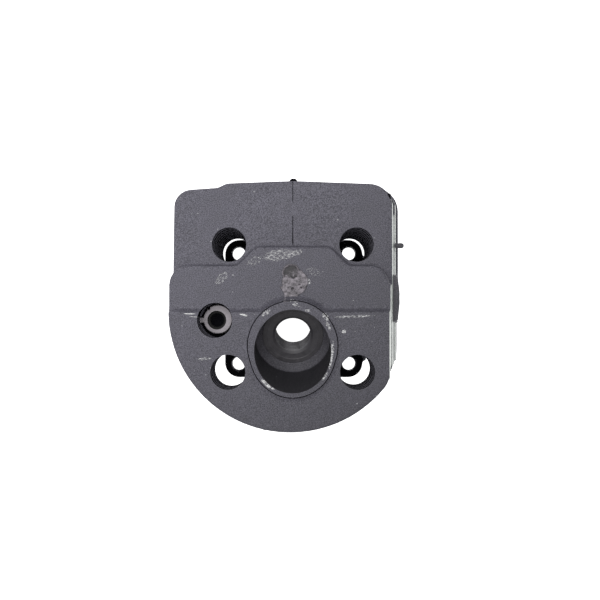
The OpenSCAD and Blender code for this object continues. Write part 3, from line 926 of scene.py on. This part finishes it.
def casting_marks(coat, scar, shade):
    """All raised marks, as solids that don't touch each other; the seam ridges, nub and flash that take the
    shade coat are darkened as painted shade.
    """
    seam_end = REAR_Y - 0.4
    marks = [
        gate_scar(scar),
        parting_ridge(shade, 38.0, seam_end, REAR_Z, 0.24),
        parting_ridge(coat, 33.0, 38.0, REAR_Z, 0.14),
        parting_ridge(shade, 22.6, 33.0, REAR_Z, 0.20),
        parting_ridge(coat, -43.0, -31.6, TOP_Z, 0.07),
    ]
    nub = [(0.2 + 1.35 * math.cos(math.radians(a)), REAR_Y - 0.1 + 0.9 * math.sin(math.radians(a)))
           for a in range(-30, 211, 15)]
    marks.append(prism("nub", nub, FIN_LOW[0] + 0.2, REAR_Z - 0.15, "z", shade))
    for low, top in zip(FIN_LOW[1:], FIN_TOP[1:]):
        marks.append(block("ridge", (-0.2, REAR_Y - 1, low + 0.5), (0.2, REAR_Y + 0.16, top - 0.5), coat))
    corner = side_x(REAR_Z) - 0.4
    marks.append(block("flash", (corner - 1.2, 39.3, FIN_LOW[0] + 0.5), (corner, 41.2, REAR_Z - 0.3), shade))
    return marks


# ---- splitting the casting

CLEAR = 0.75  # cuts pass this far from a fillet's foot, through flat faces
BOSS_R = 5.0


def piece_territories():
    """(piece name, solids that hold it) in the order in which the pieces are taken off."""
    def outward(name):
        low, high = node_box(name)
        return low - CLEAR, high + CLEAR

    def rail_cut(below, above, y_end):
        """The gap between two plates at the side, from the top of one to the underside of the next."""
        low, high, inner, outer = below + 0.5, above - 0.5, -RAIL_W - 1.2, 3
        corners = ((low, inner), (low, outer), (high, outer), (high, inner))
        outline = [(side_x(z) + dx, z) for z, dx in corners]
        return prism("cut", outline, rail_low[1] - CLEAR, y_end + CLEAR, "y")

    core_r = BARREL_R + 0.8
    rail_low, rail_high = node_box("side_rail")
    cap_z = (REAR_Z + CAP_UNDER_Z) / 2
    hood_low, hood_high = outward("intake_hood")
    steps = [
        ("plug_tower", [cylinder("cut", TOWER_R + 1.5, 0, 30, matrix=PLUG_FRAME)]),
        ("side_rail", [rail_cut(FIN_TOP[1], FIN_LOW[0], rail_high[1]), rail_cut(REAR_Z, CAP_UNDER_Z, -3)]),
        ("top_plate", [block("cut", (-FAR, -FAR, cap_z), (FAR, FAR, FAR + 20))]),
        ("core", [cylinder("cut", core_r, -20, FAR)]),
        ("intake_hood", [block("cut", (20, hood_low[1], 33.5), (FAR, hood_high[1], FIN_LOW[0] - CLEAR))]),
    ]
    for name, x, z, half, thickness, boss_len, duct in (
        ("exhaust", EXHAUST_X, EXHAUST_Z, EXHAUST_HALF, 5, 12, (14, 10.25)),
        ("intake", INTAKE_X, INTAKE_Z, INTAKE_HALF, 4, 11, (11.5, 11.5)),
    ):
        side = math.copysign(1, x)
        low, high = outward(f"{name}_flange")
        back = x - side * (thickness + CLEAR)
        (x0, x1), (x2, x3), (x4, x5) = (sorted((back, side * end)) for end in (
            FAR, abs(x) - boss_len - CLEAR, 20))
        boss = BOSS_R + CLEAR
        steps.append((f"{name}_flange", [block("cut", (x0, low[1], max(low[2], BASE_T + 0.3)),
                                               (x1, high[1], high[2]))]))
        steps.append((f"{name}_flange", [
            block("cut", (x2, y - boss, z - boss), (x3, y + boss, z + boss)) for y in (-half, half)]))
        w, h = duct[0] + CLEAR, duct[1] + CLEAR
        steps.append((f"{name}_duct", [block("cut", (x4, -w, z - h), (x5, w, z + h))]))
    low, high = outward("transfer_walls")
    walls = [block("cut", (low[0], 20, BASE_T + CLEAR), (high[0], high[1], high[2])),
             block("cut", (low[0], low[1], BASE_T + CLEAR), (high[0], -20, high[2]))]
    steps.append(("transfer_walls", walls))
    steps.append(("base_flange", [block("cut", (-FAR, -FAR, -20), (FAR, FAR, BASE_T + CLEAR))]))
    low, high = outward("cover_screw_post")
    post = cylinder("cut", (high[1] - low[1]) / 2, low[2], high[2], matrix=upright(COVER_XY))
    steps.append(("cover_screw_post", [post]))
    for name, low, below in zip(FIN_NAMES, FIN_LOW, FIN_TOP[1:]):
        steps.append((name, [block("cut", (-FAR, -FAR, (low + below) / 2), (FAR, FAR, FAR))]))
    return steps


def carve(source, tool, name):
    """Takes what lies inside the tool off the source, as a new piece."""
    piece = source.copy()
    piece.data = source.data.copy()
    piece.name = name
    bpy.context.scene.collection.objects.link(piece)
    boolean(piece, tool, "INTERSECT", keep=True)
    boolean(source, tool)
    return piece


def split_casting(casting, material):
    """One closed piece for each region of the casting."""
    pieces = {}
    for name, solids in piece_territories():
        tool = joined(solids, "cut") if len(solids) > 1 else solids[0]
        tool.data.materials.append(material)
        piece = carve(casting, tool, name)
        if name in pieces:
            boolean(pieces[name], piece, "UNION")
        else:
            pieces[name] = piece
    core = pieces.pop("core")
    for name, low, high in (("crankcase_spigot", -20, 0), ("barrel", -1, CORE_SPLIT_Z)):
        pieces[name] = carve(core, block("cut", (-FAR, -FAR, low), (FAR, FAR, high), material), name)
    pieces["head_core"] = core
    pieces[FIN_NAMES[-1]] = casting
    return pieces


# ---- pieces set into the casting


def thread_wave(phase):
    """Height of a metric thread between its crest, one, and its root, zero."""
    return np.clip(1.65 * (1 - 2 * np.abs(phase % 1 - 0.5)) - 0.25, 0, 1)


def threaded_wall(low, high, minor, pitch, segments, steps=7):
    """Sections up an internally threaded wall, its thread fading out at both ends."""
    depth = 0.54 * pitch
    phase = np.arange(segments) / segments
    rings = []
    for z in np.linspace(low, high, int((high - low) / pitch * steps) + 1):
        fade = min(1, (z - low) / (0.5 * pitch), (high - z) / (0.5 * pitch))
        rings.append((minor + depth * fade * (1 - thread_wave(z / pitch - phase)), z))
    return rings


def finish_piece(piece, name, sharp=35):
    """Smooth shading with crisp edges; the piece takes its node's name and rides on the body."""
    piece.name = name
    piece.data.name = name
    piece.data.shade_smooth()
    piece.data.set_sharp_from_angle(angle=math.radians(sharp))
    weighted = piece.modifiers.new("normals", "WEIGHTED_NORMAL")
    weighted.keep_sharp = True
    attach(piece, "root")


def make_bore_lining(material):
    """Plated liner with chamfered port windows."""
    segments = 192
    rings = [(LINING_R, SPIGOT_Z), (LINING_R, SQUISH_Z), (BORE_R, SQUISH_Z), (BORE_R, SPIGOT_Z + 0.8),
             (BORE_R + 0.5, SPIGOT_Z)]
    lining = ring_solid("lining", rings, material, segments=segments)
    width, height, corner = EXHAUST_PORT
    outline = rounded_outline(width, height, corner, (0, EXHAUST_Z))
    windows = [prism("port", outline, -LINING_R - 2, -10, "x", material)]
    for side in (-1, 1):
        span = sorted((side * 14, side * (LINING_R + 1)))
        port_h = TRANSFER_Z[1] - TRANSFER_Z[0]
        port = rounded_outline(2 * TRANSFER_HALF, port_h, 1.5, (0, TRANSFER_Z[0] + port_h / 2))
        windows.append(prism("port", port, span[0], span[1], "y", material))
    windows.append(duct_tool(material, -30))
    boolean(lining, joined(windows, "ports"))
    bevel = lining.modifiers.new("chamfer", "BEVEL")
    bevel.width = 0.3 * MM
    bevel.segments = 1
    bevel.limit_method = "ANGLE"
    bevel.angle_limit = math.radians(50)
    finish_piece(lining, "bore_lining", 30)
    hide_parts("bore_lining")


def rounded_outline(width, height, corner, centre, sides=6):
    """A rectangle with round corners, as points."""
    points = []
    for n, (sx, sy) in enumerate(((1, -1), (1, 1), (-1, 1), (-1, -1))):
        cx = centre[0] + sx * (width / 2 - corner)
        cy = centre[1] + sy * (height / 2 - corner)
        for i in range(sides + 1):
            angle = math.radians(90 * (n - 1 + i / sides))
            points.append((cx + corner * math.cos(angle), cy + corner * math.sin(angle)))
    return points


def make_plug_bush(material, crest_highlight, chamber):
    """Plug seat with a real M14 x 1.25 thread, its crests lighter as a painted highlight and its lower end
    cut with the chamber.
    """
    pitch = 1.25
    segments = 120
    low, seat = -20, 0
    rings = [(BUSH_R, low), (BUSH_R, seat - 0.2), (BUSH_R - 0.2, seat), (9.6, seat), (9.45, seat - 0.12),
             (THREAD_R + 1.0, seat - 0.12), (THREAD_R + 0.15, seat - 0.9)]
    wall = threaded_wall(low, seat - 1.0, THREAD_R, pitch, segments)
    bush = ring_solid("bush", rings + wall[::-1], material, PLUG_FRAME, segments)

    def on_crest(centre, normal):
        x, y, z = moved(centre, PLUG_FRAME.inverted()).T
        return (np.hypot(x, y) < THREAD_R + 0.25) & (z > low) & (z < seat - 0.9)

    # painted highlight: the thread's crests take a lighter steel
    paint(bush, crest_highlight, on_crest)
    boolean(bush, chamber)
    finish_piece(bush, "plug_thread_bush", 30)
    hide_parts("plug_thread_bush")


def bush_radius(angles):
    """Outline of the keyed bush: rounded on the right, cut back on the left round its key."""
    degrees = np.degrees(angles) % 360
    offset = np.array([0.42, 0.30])
    round_r = offset[0] * np.cos(angles) + offset[1] * np.sin(angles) + 5.25
    left = np.clip((degrees - 128) / 10, 0, 1) * np.clip((292 - degrees) / 22, 0, 1)
    radius = round_r * (1 - left) + np.minimum(round_r, 4.9) * left
    notch = np.abs(degrees - 124) < 5
    radius = np.where(notch, radius - 0.5, radius)
    across = np.abs(np.sin(angles)) * 6.15
    key = (np.cos(angles) < 0) & (across < 0.95)
    return np.where(key, 6.15, radius)


def make_keyed_bush(material, shadow):
    """Steel bush for the cover screw, with its key, counterbore and M5 thread."""
    low, high = (node_box("keyed_screw_bush")[i][2] for i in (0, 1))
    floor = FIN_TOP[1]
    segments = 180
    angles = np.arange(segments) * 2 * math.pi / segments
    outline = bush_radius(angles)
    rings = [(4.0, low), (4.0, floor), (outline, floor), (outline, high - 0.25), (outline - 0.25, high),
             (3.45, high), (3.3, high - 0.15), (3.3, high - 2.2), (2.75, high - 2.4),
             (M5_R + 0.1, high - 3.2)]
    wall = threaded_wall(low, high - 3.3, M5_R, 0.8, segments)
    bush = ring_solid("bush", rings + wall[::-1], material, upright(COVER_XY), segments)

    def in_bore(centre, normal):
        return (np.hypot(*(centre[:, :2] - COVER_XY).T) < 3.4) & (centre[:, 2] < high - 0.1)

    # painted shade: the faces inside the bore take a near-black steel
    paint(bush, shadow, in_bore)
    finish_piece(bush, "keyed_screw_bush")
    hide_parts("keyed_screw_bush")


def make_inserts(material):
    """Thread inserts, two in each port flange."""
    segments = 72
    rings = [(INSERT_R, -INSERT_LEN), (INSERT_R, -0.35), (INSERT_R - 0.25, -0.1), (M5_R + 0.45, -0.1),
             (M5_R + 0.05, -0.5)]
    wall = threaded_wall(-INSERT_LEN, -0.6, M5_R, 0.8, segments)
    solids = [ring_solid("insert", rings + wall[::-1], material, place, segments)
              for place in insert_places()]
    for name, pair in (("intake_thread_inserts", solids[:2]), ("exhaust_thread_inserts", solids[2:])):
        piece = joined(pair, name)
        finish_piece(piece, name, 30)
        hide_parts(name)


def make_peg(material):
    """Peg in the side of fin 2, with a rounded head and a slight neck."""
    middle = (PEG_LOW + PEG_HIGH) / 2
    length = PEG_HIGH[0] - PEG_LOW[0]
    radius = (PEG_HIGH[2] - PEG_LOW[2]) / 2
    profile = [(0, 0), (radius * 0.9, 0), (radius * 0.9, length - 2.2), (radius, length - 1.6)]
    profile += [(radius * math.cos(math.radians(a)), length - radius + radius * math.sin(math.radians(a)))
                for a in range(0, 90, 15)]
    profile.append((0, length))
    peg = turned("peg", profile, material, along((1, 0, 0), (PEG_LOW[0], middle[1], middle[2])), 48)
    finish_piece(peg, "locating_peg", 45)
    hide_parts("locating_peg")


def on_rail(centre, normal):
    """The rail's outer face, just under the milled plane. Its bare cast grey is partly the skin's colour and
    partly painted reflection along the bright side.
    """
    depth = (centre - SIDE_POINT) @ SIDE_NORMAL
    return (depth > -0.6) & (depth < -0.05) & (normal @ SIDE_NORMAL > 0.8)


def on_hood(centre, normal):
    low, high = node_box("intake_hood")
    inside = (centre > low + (12.5, -0.4, 0)) & (centre < high + (1, 0.4, 0.2))
    return inside.all(axis=1) & (normal[:, 0] > -0.5)


def make_casting(coat, shaded_coat, wall, scar, milled, chamber, bare_cast_and_sheen, shade):
    casting = raw_casting(coat)
    boolean(casting, tower_rim(coat), "UNION")
    boolean(casting, rim_groove(shade))
    boolean(casting, joined(casting_marks(coat, scar, shade), "marks"), "UNION")
    boolean(casting, joined(facing_cuts(milled), "facing"))
    boolean(casting, joined(shaft_cuts(shade), "shafts"))
    boolean(casting, joined(hole_cuts(coat, milled, shaded_coat, wall), "holes"))
    boolean(casting, chamber_tool(chamber))
    boolean(casting, duct_tool(coat))
    # partly painted reflection: the rail's outer face takes the lighter bare cast grey
    paint(casting, bare_cast_and_sheen, on_rail)
    # painted shade: the hood's faces take the darker copy of the coat
    paint(casting, shaded_coat, on_hood)
    for name, piece in split_casting(casting, coat).items():
        finish_piece(piece, name)
        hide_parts(name)


make_camera()
make_world()
make_floor()
make_softbox()
coat = coat_material()
# Painted shade: a darker copy of the coat for the plug well's floor, the intake hood under the plates and
# the peg.
shaded_coat = coat_material("coat_well_painted_shade", scrapes_and_painted_falloff=False, dark=(0.02, 0.019, 0.024), light=(0.09, 0.087, 0.102))
# Painted shade: a near-black copy of the coat for the side walls of the plug well.
wall = coat_material("coat_wall_painted_shade", scrapes_and_painted_falloff=False, dark=(0.008, 0.008, 0.01), light=(0.026, 0.025, 0.03))
# Painted shade: a near-black copy of the coat with no specular, for the tool shafts, the cover screw's
# pocket, the rim groove and the dark seam marks.
shade = coat_material("coat_shaft_painted_shade", scrapes_and_painted_falloff=False, dark=(0.002, 0.002, 0.003), light=(0.008, 0.008, 0.01),
                      gloss_level=0.0)
scar = scar_material()
milled = milled_material()
bare_cast_and_sheen = cast_material()
chamber = turned_material("chamber", (0.3, 0.3, 0.3), (0.58, 0.58, 0.57), 0.42)
plug_steel = turned_material("plug_bush", (0.018, 0.017, 0.02), (0.062, 0.059, 0.066), 0.5,
                             (PLUG_AXIS, SEAT), metallic=0.1)
crest_highlight_steel = turned_material("plug_crest_highlight", (0.04, 0.039, 0.043), (0.105, 0.102, 0.112), 0.5,
                             (PLUG_AXIS, SEAT), metallic=0.2)
bush_steel = turned_material("bush_steel", (0.14, 0.13, 0.14), (0.25, 0.235, 0.25), 0.5,
                             ((0, 0, 1), (*COVER_XY, 0)))
bore_shade_steel = turned_material("bush_bore_painted_shade", (0.002, 0.002, 0.002), (0.01, 0.01, 0.01), 0.7,
                             ((0, 0, 1), (*COVER_XY, 0)), metallic=0.0)
insert_steel = turned_material("insert_steel", (0.4, 0.4, 0.41), (0.62, 0.62, 0.63), 0.35)

make_casting(coat, shaded_coat, wall, scar, milled, chamber, bare_cast_and_sheen, shade)
make_bore_lining(honed_material())
make_plug_bush(plug_steel, crest_highlight_steel, chamber_tool(plug_steel))
make_keyed_bush(bush_steel, bore_shade_steel)
make_inserts(insert_steel)
# painted shade: the peg takes the darker copy of the coat
make_peg(shaded_coat)
